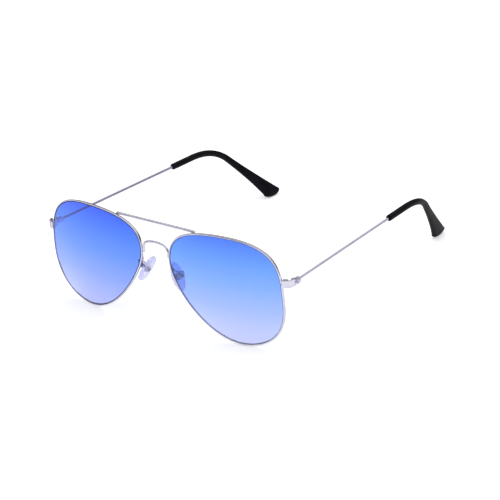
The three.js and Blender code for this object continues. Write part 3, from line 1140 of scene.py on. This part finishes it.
@dataclass
class LugAndHinge:
    """The lug behind a rim's corner, the lock that closes the rim, and the three-knuckle hinge.

    Attributes:
        shape: The outline that the rim follows.
        axis: Where the hinge stands in plan.
        barrel: The knuckles' radius.
        bottom: The underside of the lowest knuckle.
        knuckle: A knuckle's height.
        play: The gap between two knuckles.
        pin: The hinge screw's radius.
        lock_low: The lock's underside.
        lock_high: Its top.
        lock_level: The level at which it is split.
        lock_gap: The width of the split.
        lock_x: How far its screw stands out of the rim.
        lock_y: How far its screw stands back.
        lock_foot: Where the block leaves the rim.
        lock_cut: How far its corners are cut off.
        reach: How far the block goes past its screw.
        block_level: The level of the temple's block.
        block_half: Half its height.
        outer: The outer side of the lug in plan, from the rim backwards.
        inner: The inner side in plan, from the back to the rim.
        block: The temple's block in plan, from the hinge axis.
    """

    shape: EyeShape
    axis: tuple[float, float] = (68.4, 11.0)
    barrel: float = 1.05
    bottom: float = 5.15
    knuckle: float = 0.98
    play: float = 0.08
    pin: float = 0.43
    lock_low: float = 5.6
    lock_high: float = 8.9
    lock_level: float = 6.9
    lock_gap: float = 0.12
    lock_x: float = 2.05
    lock_y: float = 0.65
    lock_foot: float = 0.56
    lock_cut: float = 0.3
    reach: float = 0.85
    block_level: float = 6.8
    block_half: float = 0.9
    outer: tuple[tuple[float, float], ...] = (
        (66.0, 5.9),
        (67.2, 6.1),
        (68.5, 6.75),
        (69.35, 7.7),
        (69.7, 8.7),
        (69.8, 9.75),
    )
    inner: tuple[tuple[float, float], ...] = (
        (69.24, 9.75),
        (69.22, 9.3),
        (68.85, 8.3),
        (68.0, 7.45),
        (66.9, 6.95),
        (65.75, 6.7),
    )
    block: tuple[tuple[float, float], ...] = (
        (-1.15, 1.2),
        (1.75, 1.2),
        (1.75, 2.1),
        (1.2, 3.2),
        (0.7, 4.3),
        (-1.3, 4.3),
        (-1.3, 2.2),
    )

    @property
    def levels(self) -> list[float]:
        """The undersides of the three knuckles."""
        return [self.bottom + i * (self.knuckle + self.play) for i in range(3)]

    @property
    def at_lock(self) -> Matrix:
        """The lock's own axes: x out of the rim, y back, z up.

        Returns:
            The move from them to the left side's place.
        """
        centre, out, _ = self.shape.edge(self.shape.lock)
        place = self.shape.matrix @ centre
        heading = self.shape.matrix.to_3x3() @ out
        turn = math.atan2(heading.y, heading.x)
        return Matrix.Translation((place.x, place.y, 0.0)) @ Matrix.Rotation(turn, 4, "Z")

    def lock_half(self, low: float, high: float) -> Solid:
        """One half of the lock: a small block that is brazed to the rim.

        Args:
            low: Its underside.
            high: Its top.

        Returns:
            The block.
        """
        x0, x1 = self.lock_foot, self.lock_x + self.reach
        y0, y1 = self.lock_y - self.reach + 0.35, self.lock_y + self.reach
        cut = self.lock_cut
        plan = [(x0, y0), (x1 - cut, y0), (x1, y0 + cut), (x1, y1 - cut), (x1 - cut, y1), (x0, y1)]
        return Solid().slab(plan, low, high, 0.12).moved(self.at_lock)

    def lug(self) -> Solid:
        """The curved plate from the rim back to the hinge, with the upper half of the lock.

        Returns:
            The lug.
        """
        sides = (self.outer, self.inner)
        curves = [through([Vector((x, y, 0.0)) for x, y in side], 6) for side in sides]
        plan = [(p.x, p.y) for curve in curves for p in curve.points]
        solid = Solid().slab(plan, self.lock_low, self.lock_high, 0.16)
        upper = self.lock_half(self.lock_level + self.lock_gap / 2.0, self.lock_high - 0.05)
        mesh = bpy.data.meshes.new("upper")
        upper.bm.to_mesh(mesh)
        upper.bm.free()
        solid.bm.from_mesh(mesh)
        bpy.data.meshes.remove(mesh)
        return solid

    def lower_lock(self) -> Solid:
        """The lower half of the lock."""
        return self.lock_half(self.lock_low + 0.02, self.lock_level - self.lock_gap / 2.0)

    def lock_screw(self) -> Solid:
        """The screw that closes the rim, with its head underneath.

        Returns:
            The screw.
        """
        low, high = self.lock_low, self.lock_high
        upright = Screw(
            x=self.lock_x,
            y=-self.lock_y,
            radius=0.36,
            low=low,
            high=high + 0.04,
            head=0.62,
            head_height=0.3,
        )
        turned = Matrix.Translation((0.0, 0.0, low + high)) @ Matrix.Rotation(math.pi, 4, "X")
        return upright.build().moved(self.at_lock @ turned)

    def arc(self, start: float, end: float, steps: int = 22) -> Outline:
        """Points of the barrel round the hinge axis.

        Args:
            start: The first angle, in degrees.
            end: The last one.
            steps: How many short pieces the arc has.

        Returns:
            The points.
        """
        x, y = self.axis
        angles = [math.radians(start + (end - start) * i / steps) for i in range(steps + 1)]
        return [(x + self.barrel * math.cos(a), y + self.barrel * math.sin(a)) for a in angles]

    def front_half(self) -> Solid:
        """Two knuckles on a leaf inside the lug.

        Returns:
            The front half of the hinge.
        """
        x, y = self.axis
        solid = Solid()
        for z in (self.levels[0], self.levels[2]):
            plan = [*self.arc(100.0, 260.0), (x + 0.7, y - 0.9), (x + 0.7, y + 0.9)]
            solid.slab(plan, z, z + self.knuckle, 0.09)
        top = self.levels[2] + self.knuckle
        return solid.block((x + 0.45, y - 1.65, self.bottom), (x + 0.78, y + 1.17, top), 0.06)

    def rear_half(self) -> Solid:
        """The middle knuckle on the block that carries the temple wire.

        Returns:
            The rear half of the hinge.
        """
        x, y = self.axis
        z = self.levels[1]
        plan = [*self.arc(185.0, 345.0), (x + 0.4, y + 1.5), (x - 0.95, y + 1.5)]
        solid = Solid().slab(plan, z, z + self.knuckle, 0.09)
        block = [(x + across, y + back) for across, back in self.block]
        low, high = self.block_level - self.block_half, self.block_level + self.block_half
        return solid.slab(block, low, high, 0.3)

    def hinge_screw(self) -> Solid:
        """The screw that the temple turns on.

        Returns:
            The screw.
        """
        x, y = self.axis
        top = self.levels[2] + self.knuckle
        return Screw(x, y, self.pin, self.bottom - 0.15, top + 0.04, 0.85, 0.35).build()


# ---- Temple -------------------------------------------------------------------------------------


@dataclass
class Temple:
    """The thin side wire and the plastic tip that hooks behind the ear.

    Attributes:
        start: Where the wire's line crosses the hinge axis.
        wire: The wire's radius.
        converge: How far the temple leans inwards, in degrees.
        dip: How far it slopes down, in degrees.
        drop: How steeply the bent end goes down, in degrees.
        lean: How far the bent end leans inwards, in degrees.
        wire_start: Where the wire comes out of the hinge block. This and the next distances
            are along the line, from the hinge.
        sleeve: Where the tip starts.
        bend_start: Where the bend starts.
        apex: Where the two straight parts would meet.
        bend_end: Where the bend ends.
        paddle_end: Where the rounded end of the tip starts.
        slim: The sleeve's radius.
        growth: How much the half height grows over growth_over.
        growth_from: Where it starts to grow.
        growth_over: The distance for that growth.
        power: How late it grows.
        slant: How far the end is cut at a slant, in degrees.
        slant_span: Where the slant comes in.
        thin: Half the paddle's thickness.
        flat_span: Where the round sleeve turns into the flat paddle.
        bulge: How far the rounded end stands out.
        fullness: How blunt the rounded end is.
        mouth: Distances from the sleeve's mouth and the share of the radius at each.
        mouth_length: How long the mouth is.
    """

    start: tuple[float, float, float] = (68.4, 11.0, 6.8)
    wire: float = 0.58
    converge: float = 4.2
    dip: float = 0.3
    drop: float = 46.15
    lean: float = 24.3
    wire_start: float = 2.7
    sleeve: float = 75.2
    bend_start: float = 88.5
    apex: float = 102.4
    bend_end: float = 113.0
    paddle_end: float = 143.4
    slim: float = 1.47
    growth: float = 2.64
    growth_from: float = 104.2
    growth_over: float = 40.0
    power: float = 2.0
    slant: float = 42.0
    slant_span: tuple[float, float] = (121.0, 143.0)
    thin: float = 1.2
    flat_span: tuple[float, float] = (95.0, 120.0)
    bulge: float = 2.3
    fullness: float = 2.2
    mouth: tuple[tuple[float, float], ...] = (
        (0.0, 0.6),
        (0.04, 0.76),
        (0.12, 0.88),
        (0.3, 0.97),
        (0.6, 1.0),
        (1.3, 1.0),
        (1.5, 0.93),
        (1.75, 0.93),
        (1.95, 0.98),
    )
    mouth_length: float = 2.4

    @property
    def straight(self) -> Vector:
        """The direction of the straight part."""
        a = math.radians(self.converge)
        return Vector((-math.sin(a), math.cos(a), -math.sin(math.radians(self.dip)))).normalized()

    @property
    def down(self) -> Vector:
        """The direction of the part that hooks behind the ear.

        Returns:
            A unit vector.
        """
        lean, drop = math.radians(self.lean), math.radians(self.drop)
        level = Vector((-math.sin(lean), math.cos(lean), 0.0)) * math.cos(drop)
        return level - Vector((0.0, 0.0, math.sin(drop)))

    def line(self, low: float, high: float) -> Polyline:
        """The wire's line.

        Args:
            low: How far behind the hinge it starts.
            high: How far behind the hinge it ends, along its bent length.

        Returns:
            The line.
        """
        start = Vector(self.start)
        corner = start + self.straight * self.apex
        bend_start = start + self.straight * self.bend_start
        bend_end = corner + self.down * (self.bend_end - self.apex)
        first = [(start + self.straight * low).lerp(bend_start, i / 40) for i in range(40)]
        bend = bezier([bend_start, corner, bend_end], 60)
        last = [bend_end.lerp(corner + self.down * (high - self.apex), i / 60) for i in range(61)]
        if low >= self.bend_start:
            return Polyline([*bend, *last])
        return Polyline([*first, *bend, *last])

    def side_wire(self) -> Solid:
        """The wire, from inside the hinge block to inside the tip.

        Returns:
            The wire.
        """
        line = self.line(self.wire_start, self.bend_end + 2.0)
        rings = tube_rings(line, lambda _: self.wire, 120, 20, Vector((1, 0, 0)), rounded=True)
        return Solid().loft(rings)

    def half_height(self, distance: float) -> float:
        """Half the tip's height, square to its line."""
        grown = max(0.0, (distance - self.growth_from) / self.growth_over)
        return self.slim + self.growth * grown**self.power

    def ring(self, line: Polyline, distance: float, past: float = 0.0, scale: float = 1.0) -> Ring:
        """One ring of the tip.

        Args:
            line: The tip's centre line.
            distance: How far behind the hinge it is.
            past: How far it is moved out of the slanted end.
            scale: How far its outline is drawn in, from 1 down to 0.

        Returns:
            The ring.
        """
        t = min(1.0, (distance - self.sleeve) / (self.paddle_end - self.sleeve))
        along = line.along(t)
        across = self.straight.cross(self.down).normalized()
        over = along.cross(across)
        tilt = math.radians(self.slant) * smoothstep(distance, *self.slant_span)
        length = over * math.cos(tilt) + along * math.sin(tilt)
        out = along * math.cos(tilt) - over * math.sin(tilt)
        high = self.half_height(distance) / math.cos(tilt) * scale
        flat = smoothstep(distance, *self.flat_span)
        wide = (self.slim + (self.thin - self.slim) * flat) * (0.4 + 0.6 * scale)
        centre = line.at(t) + out * past
        section = circle(36, 2.0 + 0.9 * flat)
        shrink = 1.0 - 0.05 * flat
        across *= wide * shrink
        length *= high * shrink
        return [centre + across * x + length * y for x, y in section]

    def tip(self) -> Solid:
        """The tip: a slim sleeve with a small lip that widens past the bend into a flat paddle.

        Returns:
            The tip.
        """
        line = self.line(self.sleeve, self.paddle_end)
        rings = [self.ring(line, self.sleeve + d, scale=k) for d, k in self.mouth]
        steps, end_steps = 78, 14
        first = self.sleeve + self.mouth_length
        run = self.paddle_end - first
        rings += [self.ring(line, first + run * i / steps) for i in range(steps + 1)]
        for i in range(1, end_steps + 1):
            past = math.sin(math.radians(90.0 * i / end_steps))
            scale = max(0.08, (1.0 - past**self.fullness) ** (1.0 / self.fullness))
            rings.append(self.ring(line, self.paddle_end, self.bulge * past, scale))
        return Solid().loft(rings)


# ---- Nose pad -----------------------------------------------------------------------------------


@dataclass
class NosePad:
    """A silicone pad on its plate, the box and screw that it rocks on, and the arm from the rim.

    Attributes:
        pivot: The middle of the screw that the pad rocks on.
        normal: The direction straight out of the pad's bearing face.
        up: The direction along its length.
        half_length: Half its length.
        half_width: Half its width.
        start: How far its back lies in front of the screw.
        back: How far the back of the box lies behind the screw.
        thick: How thick the pad is.
        arm: The arm's radius.
        arm_knots: The points that the arm passes, from its foot on the rim.
        eye: Radius and place across of the eye's outline.
        cup: Half width, half height and depth of the box's outline, round its edge and back inside.
    """

    pivot: tuple[float, float, float] = (11.0, 3.6, 0.75)
    normal: tuple[float, float, float] = (-0.86, 0.0, -0.51)
    up: tuple[float, float, float] = (-0.497, 0.219, 0.838)
    half_length: float = 6.75
    half_width: float = 3.42
    start: float = 1.2
    back: float = 1.15
    thick: float = 2.5
    arm: float = 0.45
    arm_knots: tuple[Place, ...] = (
        (8.7, 1.18, 6.2),
        (8.85, 1.15, 4.7),
        (9.7, 1.5, 3.4),
        (11.3, 2.4, 3.1),
        (12.8, 3.2, 2.9),
    )
    eye: tuple[tuple[float, float], ...] = ((0.54, -0.5), (0.62, -0.42), (0.62, 0.42), (0.54, 0.5))
    cup: tuple[Place, ...] = (
        (1.02, 1.22, -1.15),
        (1.18, 1.38, -1.09),
        (1.25, 1.45, -0.94),
        (1.25, 1.45, 0.6),
        (1.18, 1.38, 0.72),
        (0.72, 1.12, 0.72),
        (0.64, 1.06, 0.62),
        (0.62, 1.05, -0.62),
        (0.54, 0.96, -0.72),
    )

    @property
    def matrix(self) -> Matrix:
        """The pad's own axes: x out of its bearing face, y forwards, z up its length.

        Returns:
            The move from them to the left side's place.
        """
        n = Vector(self.normal).normalized()
        up = Vector(self.up)
        z = (up - n * up.dot(n)).normalized()
        y = z.cross(n)
        turn = Matrix((n, y, z)).transposed().to_4x4()
        return Matrix.Translation(self.pivot) @ turn

    def pad(self) -> Solid:
        """The soft pad: an oval with full, round edges and a slightly crowned face.

        Returns:
            The pad.
        """
        rings = []
        layers = 22
        section = circle(64)
        for i in range(layers + 1):
            a = math.radians(-86.0 + 172.0 * i / layers)
            depth = self.start + self.thick * (0.5 + 0.5 * math.sin(a))
            scale = 0.62 + 0.38 * abs(math.cos(a)) ** 0.55
            narrow = scale - (1.0 - scale) * 0.35
            wide, high = self.half_width * narrow, self.half_length * scale
            rings.append([Vector((depth, x * wide, y * high)) for x, y in section])
        return Solid().loft(rings).moved(self.matrix)

    def plate(self) -> Solid:
        """The metal plate inside the pad, its stem and the eye that takes the screw.

        Returns:
            The plate.
        """
        s = self.start
        solid = Solid().block((s + 0.85, -1.1, -1.55), (s + 1.35, 1.1, 1.55), 0.18)
        solid.block((0.0, -0.5, -0.42), (s + 0.9, 0.5, 0.42), 0.1)
        section = circle(24)
        rings = [[Vector((x * r, y, z * r)) for x, z in section] for r, y in self.eye]
        return solid.loft(rings).moved(self.matrix)

    def marks(self) -> Solid:
        """The two short bars that show in the middle of the pad's face.

        Returns:
            The bars.
        """
        face = self.start + self.thick
        solid = Solid()
        for y in (-0.5, 0.5):
            solid.block((face - 0.3, y - 0.24, -0.8), (face + 0.03, y + 0.24, 0.8), 0.05)
        return solid.moved(self.matrix)

    def box(self) -> Solid:
        """The open box behind the pad: a cup with round corners.

        Returns:
            The box.
        """
        section = circle(40, 3.2)
        rings = [[Vector((x, y * w, z * h)) for y, z in section] for w, h, x in self.cup]
        return Solid().loft(rings).moved(self.matrix)

    def screw(self) -> Solid:
        """The screw across the box.

        Returns:
            The screw.
        """
        upright = Screw(
            x=0.0, y=0.0, radius=0.3, low=-1.35, high=1.29, head=0.52, head_height=0.31, slot=0.08
        )
        laid = Matrix.Rotation(math.radians(-90.0), 4, "X")
        return upright.build().moved(self.matrix @ laid)

    def arm_line(self) -> Polyline:
        """The arm's line from its foot on the rim to the back of the box.

        Returns:
            The line.
        """
        n = Vector(self.normal).normalized()
        end = Vector(self.pivot) - n * self.back
        return through([*map(Vector, self.arm_knots), end - n * 0.8, end])

    def arm_wire(self) -> Solid:
        """The bent arm, a little thinner at its foot.

        Returns:
            The wire.
        """

        def radius(fraction: float) -> float:
            """The wire's radius at a fraction of its length."""
            return self.arm * (0.88 + 0.12 * smoothstep(fraction, 0.0, 0.15))

        return Solid().loft(tube_rings(self.arm_line(), radius, 90, 16, Vector((1, -1, 0.2))))


# ---- Brazed joints ------------------------------------------------------------------------------


@dataclass(frozen=True)
class Fillet:
    """A small puddle of braze between two wires."""

    centre: tuple[float, float, float]
    size: tuple[float, float, float]

    def build(self) -> Solid:
        """A flattened drop with a slightly uneven outline.

        Returns:
            The drop.
        """
        centre, size = Vector(self.centre), Vector(self.size)
        rings = []
        for i in range(1, 12):
            a = math.pi * i / 12
            ring = []
            for k, (x, y) in enumerate(circle(20)):
                out = math.sin(a) * (1.0 + 0.07 * math.sin(3.0 * k + 1.7 * i))
                ring.append(centre + size * Vector((x * out, y * out, -math.cos(a))))
            rings.append(ring)
        return Solid().loft(rings)


# ---- Studio -------------------------------------------------------------------------------------


@dataclass
class Studio:
    """The table top, the light and the camera.

    Attributes:
        azimuth: The camera's angle from straight ahead, in degrees.
        elevation: Its angle above the table.
        roll: How far it is tipped sideways.
        distance: How far away it is, in millimetres.
        offset: Where the middle of the frame lies in its view, in millimetres.
        lens: Its focal length, in millimetres.
        panel_place: Where the light panel hangs, in metres.
        panel_size: The length of its sides, in metres.
        panel_watts: Its power.
        table: Half the table's width, in metres.
        table_gap: How far the table lies under the sunglasses, in metres.
        walls: How bright the room is, from the nadir (0) to the zenith (1).
    """

    azimuth: float = 41.0
    elevation: float = 23.716
    roll: float = -5.159
    distance: float = 1601.6
    offset: tuple[float, float] = (-40.654, -10.622)
    lens: float = 263.0
    panel_place: Place = (0.2, 0.2, 1.9)
    panel_size: float = 3.0
    panel_watts: float = 14.0
    table: float = 6.0
    table_gap: float = 0.00002
    walls: tuple[tuple[float, float], ...] = (
        (0.0, 0.25),
        (0.03, 0.02),
        (0.33, 0.02),
        (0.4, 0.75),
        (1.0, 1.0),
    )

    def floor(self) -> None:
        """A wide table top just under the sunglasses."""
        bm = bmesh.new()
        bmesh.ops.create_grid(bm, x_segments=48, y_segments=48, size=self.table)
        for vert in bm.verts:
            vert.co.z = -self.table_gap
        for face in bm.faces:
            face.smooth = True
        mesh = bpy.data.meshes.new("table_top")
        bm.to_mesh(mesh)
        bm.free()
        mesh.materials.append(PaleFloor("pale_floor").make())
        table = bpy.data.objects.new("table_top", mesh)
        bpy.context.scene.collection.objects.link(table)

    def panel(self) -> None:
        """A soft light panel that hangs over the sunglasses and faces them."""
        light = bpy.data.lights.new("top_panel", "AREA")
        light.shape = "RECTANGLE"
        light.size = light.size_y = self.panel_size
        light.energy = self.panel_watts
        lamp = bpy.data.objects.new("top_panel", light)
        lamp.location = self.panel_place
        lamp.rotation_euler = (-Vector(self.panel_place)).to_track_quat("-Z", "Y").to_euler()
        bpy.context.scene.collection.objects.link(lamp)

    def surround(self) -> None:
        """A room with a pale ceiling and dark walls, which give the wires their edges."""
        world = bpy.data.worlds.new("white_room")
        world.use_nodes = True
        nodes, links = world.node_tree.nodes, world.node_tree.links
        nodes.clear()
        output = nodes.new("ShaderNodeOutputWorld")
        background = nodes.new("ShaderNodeBackground")
        place = nodes.new("ShaderNodeTexCoord")
        split = nodes.new("ShaderNodeSeparateXYZ")
        ramp = nodes.new("ShaderNodeValToRGB")
        elements = ramp.color_ramp.elements
        while len(elements) < len(self.walls):
            elements.new(0.5)
        for element, (at, value) in zip(elements, self.walls):
            element.position = at
            element.color = (value, value, value * 1.02, 1.0)
        links.new(place.outputs["Generated"], split.inputs["Vector"])
        links.new(split.outputs["Z"], ramp.inputs["Fac"])
        links.new(ramp.outputs["Color"], background.inputs["Color"])
        links.new(background.outputs["Background"], output.inputs["Surface"])
        background.inputs["Strength"].default_value = 1.0
        bpy.context.scene.world = world

    def camera(self, shift: Vector) -> None:
        """The camera, to the front and left of the wearer.

        Args:
            shift: The move from the maker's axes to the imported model's.
        """
        az, el, roll = (math.radians(a) for a in (self.azimuth, self.elevation, self.roll))
        back = Vector((math.sin(az) * math.cos(el), -math.cos(az) * math.cos(el), math.sin(el)))
        right = Vector((math.cos(az), math.sin(az), 0.0))
        up = back.cross(right)
        x = right * math.cos(roll) + up * math.sin(roll)
        y = up * math.cos(roll) - right * math.sin(roll)
        place = (back * self.distance - x * self.offset[0] - y * self.offset[1] + shift) * MM
        data = bpy.data.cameras.new("camera")
        data.lens = self.lens
        data.sensor_width = 36.0
        data.clip_start, data.clip_end = 0.05, 30.0
        camera = bpy.data.objects.new("camera", data)
        camera.matrix_world = Matrix.Translation(place) @ Matrix((x, y, back)).transposed().to_4x4()
        bpy.context.scene.collection.objects.link(camera)
        bpy.context.scene.camera = camera

    def build(self, shift: Vector) -> None:
        """Sets up the table top, the light and the camera.

        Args:
            shift: The move from the maker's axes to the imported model's.
        """
        self.floor()
        self.surround()
        self.panel()
        self.camera(shift)
        view = bpy.context.scene.view_settings
        view.view_transform = "Standard"
        view.look = "None"


# ---- Assembly -----------------------------------------------------------------------------------


@dataclass
class Sunglasses:
    """The whole pair: every sub-assembly, in the order in which it is put together."""

    shape: EyeShape = field(default_factory=EyeShape)
    bar: BrowBar = field(default_factory=BrowBar)
    bridge: NoseBridge = field(default_factory=NoseBridge)
    temple: Temple = field(default_factory=Temple)
    pad: NosePad = field(default_factory=NosePad)
    # The right rim's front lip is wider than the left's, which widens its painted shade line.
    left_lip: float = 0.16
    right_lip: float = 0.36
    bar_braze: Fillet = Fillet((21.6, 1.75, 23.95), (1.0, 0.45, 0.3))
    bridge_braze: Fillet = Fillet((7.3, 0.55, 10.4), (0.35, 0.45, 1.1))
    arm_braze: Fillet = Fillet((8.55, 1.0, 5.7), (0.35, 0.35, 0.8))

    def build_middle(self, bench: Bench, finish: Finishes) -> None:
        """Adds the two bridges, which lie across both sides.

        Args:
            bench: Where the pieces are fitted.
            finish: The materials.
        """
        bar, bridge, metal = self.bar.build(), self.bridge.build(), (Slot.METAL, finish.metal)
        bench.fit(bar, "straight_bar", Side.LEFT, FRONT, ["brow_bar"], *metal)
        bench.fit(bridge, "arched_bridge", Side.LEFT, FRONT, ["nose_bridge"], *metal)

    def build_eye(self, bench: Bench, side: Side, finish: Finishes) -> None:
        """Adds one rim and its lens.

        Args:
            bench: Where the pieces are fitted.
            side: The side they belong to.
            finish: The materials.
        """
        tag = side.tag
        rim = EyeRim(self.shape, lip=self.right_lip if side is Side.RIGHT else self.left_lip)
        lens = TintedLens(self.shape)
        # The rim's second material paints shade on its front lip.
        metal_and_lip_shade = (Slot.METAL, finish.metal, finish.groove)
        bench.fit(rim.build(), f"grooved_rim_{tag}", side, FRONT, [f"rim_{tag}"], *metal_and_lip_shade)
        tint = finish.tints[side]
        bench.fit_side(side, [(lens.build(), "domed_lens", FRONT, "lens", Slot.TINT, tint)])

    def build_hinge(self, bench: Bench, side: Side, finish: Finishes) -> None:
        """Adds one lug, its lock and its hinge.

        Args:
            bench: Where the pieces are fitted.
            side: The side they belong to.
            finish: The materials.
        """
        hinge = LugAndHinge(self.shape)
        metal, steel = (Slot.METAL, finish.metal), (Slot.STEEL, finish.steel)
        rows = [
            (hinge.lug(), "lug", FRONT, "endpiece", *metal),
            (hinge.lower_lock(), "lower_lock", FRONT, "rim_lock", *metal),
            (hinge.lock_screw(), "lock_screw", FRONT, "rim_screw", *steel),
            (hinge.front_half(), "hinge_front", FRONT, "front_hinge", *metal),
            (hinge.hinge_screw(), "pivot_screw", FRONT, "hinge_screw", *steel),
            (hinge.rear_half(), "hinge_rear", "temple", "temple_hinge", *metal),
        ]
        bench.fit_side(side, rows)

    def build_temple(self, bench: Bench, side: Side, finish: Finishes) -> None:
        """Adds one side wire and its tip.

        Args:
            bench: Where the pieces are fitted.
            side: The side they belong to.
            finish: The materials.
        """
        wire, tip = (Slot.METAL, finish.wires[side]), (Slot.PLASTIC, finish.plastic)
        rows = [
            (self.temple.side_wire(), "side_wire", "temple", "temple_wire", *wire),
            (self.temple.tip(), "ear_tip", "temple", "temple_tip", *tip),
        ]
        bench.fit_side(side, rows)

    def build_pad(self, bench: Bench, side: Side, finish: Finishes) -> None:
        """Adds one nose pad with its box, screw and arm.

        Args:
            bench: Where the pieces are fitted.
            side: The side they belong to.
            finish: The materials.
        """
        pad, steel = self.pad, (Slot.STEEL, finish.steel)
        rows = [
            (pad.pad(), "soft_pad", "nose_pad", "nose_pad", Slot.SILICONE, finish.silicone),
            (pad.plate(), "pad_plate", "nose_pad", "pad_insert", *steel),
            (pad.marks(), "pad_bars", "nose_pad", "", Slot.STEEL, finish.groove),
            (pad.box(), "pad_housing", FRONT, "pad_box", *steel),
            (pad.screw(), "pad_pin", FRONT, "pad_screw", *steel),
            (pad.arm_wire(), "bent_arm", FRONT, "pad_arm", Slot.METAL, finish.metal),
        ]
        bench.fit_side(side, rows)

    def build_fillets(self, bench: Bench, side: Side, finish: Finishes) -> None:
        """Adds the braze where the bar, the bridge and the arm meet one rim.

        Args:
            bench: Where the pieces are fitted.
            side: The side they belong to.
            finish: The materials.
        """
        braze = (Slot.METAL, finish.braze)
        rows = [
            (self.bar_braze.build(), "braze_bar", FRONT, "", *braze),
            (self.bridge_braze.build(), "braze_bridge", FRONT, "", *braze),
            (self.arm_braze.build(), "braze_arm", FRONT, "", *braze),
        ]
        bench.fit_side(side, rows)

    def build(self, bench: Bench, finish: Finishes) -> None:
        """Puts the whole pair together.

        Args:
            bench: Where the pieces are fitted.
            finish: The materials.
        """
        self.build_middle(bench, finish)
        for side in Side:
            self.build_eye(bench, side, finish)
            self.build_hinge(bench, side, finish)
            self.build_temple(bench, side, finish)
            self.build_pad(bench, side, finish)
            self.build_fillets(bench, side, finish)


def corners(box: tuple[Vector, Vector]) -> list[list[float]]:
    """A box's two corners as plain numbers.

    Args:
        box: The lowest and the highest corner.

    Returns:
        The same, as lists.
    """
    return [list(corner) for corner in box]


def main() -> None:
    """Builds the sunglasses and the studio."""
    logging.basicConfig(level=logging.INFO, format="%(message)s")
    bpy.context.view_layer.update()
    glasses = Sunglasses()
    bench = Bench.on_frame(glasses.bar)
    glasses.build(bench, Finishes.mixed())
    Studio().build(bench.shift)
    bpy.context.view_layer.update()


if __name__ == "__main__":
    main()
